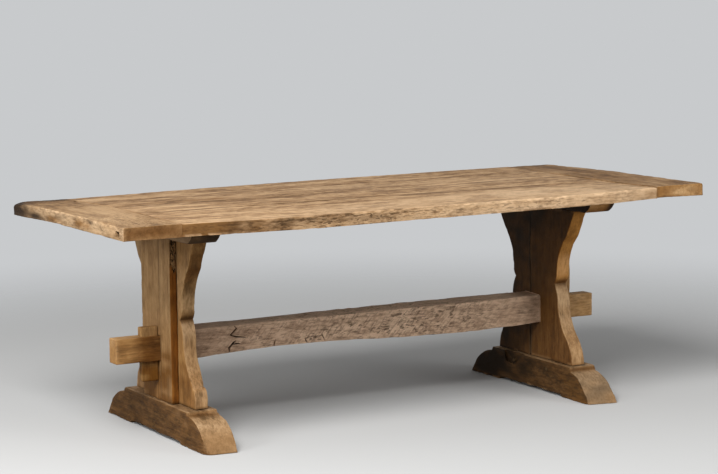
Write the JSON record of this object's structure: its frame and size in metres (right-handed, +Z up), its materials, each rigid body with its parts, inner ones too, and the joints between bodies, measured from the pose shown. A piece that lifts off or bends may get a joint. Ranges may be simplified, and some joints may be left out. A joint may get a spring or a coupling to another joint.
{
  "type": "trestle dining table",
  "caption": "Heavy oak dining table: plank top with breadboard ends on two shaped trestles, tied by a stretcher whose through-tenons are locked by lift-out keys.",
  "frame": {"origin": "on the floor under the middle of the top", "axes": "+X along the table, -Y the front, +Z up"},
  "size_m": [2.22, 0.98, 0.77],
  "materials": {
    "plank_oak": "aged, waxed, worn at the edges",
    "breadboard_oak": "aged, waxed, worn at the edges",
    "panel_oak": "aged, waxed, worn at the edges",
    "post_oak": "aged, waxed, worn at the edges",
    "foot_oak": "aged, waxed, worn at the edges",
    "bearer_oak": "aged, waxed, worn at the edges",
    "stretcher_oak": "aged, waxed, worn at the edges",
    "key_oak": "aged, waxed, worn at the edges",
    "peg_oak": "aged, waxed, worn at the edges",
    "screw_steel": "dull steel"
  },
  "bodies": {
    "table": {"left_bearer": "bearer_oak", "left_bearer_pegs": "peg_oak", "left_bearer_screws": "screw_steel", "left_breadboard": "breadboard_oak", "left_breadboard_pegs": "peg_oak", "left_foot": "foot_oak", "left_foot_pegs": "peg_oak", "left_panel_dowels": "peg_oak", "left_panel_front_board": "panel_oak", "left_panel_rear_board": "panel_oak", "left_post_front_plank": "post_oak", "left_post_pegs": "peg_oak", "left_post_rear_plank": "post_oak", "loose_tongue_1": "peg_oak", "loose_tongue_2": "peg_oak", "loose_tongue_3": "peg_oak", "right_bearer": "bearer_oak", "right_bearer_pegs": "peg_oak", "right_bearer_screws": "screw_steel", "right_breadboard": "breadboard_oak", "right_breadboard_pegs": "peg_oak", "right_foot": "foot_oak", "right_foot_pegs": "peg_oak", "right_panel_dowels": "peg_oak", "right_panel_front_board": "panel_oak", "right_panel_rear_board": "panel_oak", "right_post_front_plank": "post_oak", "right_post_pegs": "peg_oak", "right_post_rear_plank": "post_oak", "stretcher": "stretcher_oak", "top_plank_1": "plank_oak", "top_plank_2": "plank_oak", "top_plank_3": "plank_oak", "top_plank_4": "plank_oak"},
    "left_key": {"left_key": "key_oak"},
    "right_key": {"right_key": "key_oak"}
  },
  "joints": [
    {"name": "left_key_lift", "type": "slide", "parent": "table", "child": "left_key", "axis": [0, 0, 1], "range_m": [0, 0.17]},
    {"name": "right_key_lift", "type": "slide", "parent": "table", "child": "right_key", "axis": [0, 0, 1], "range_m": [0, 0.17]}
  ]
}
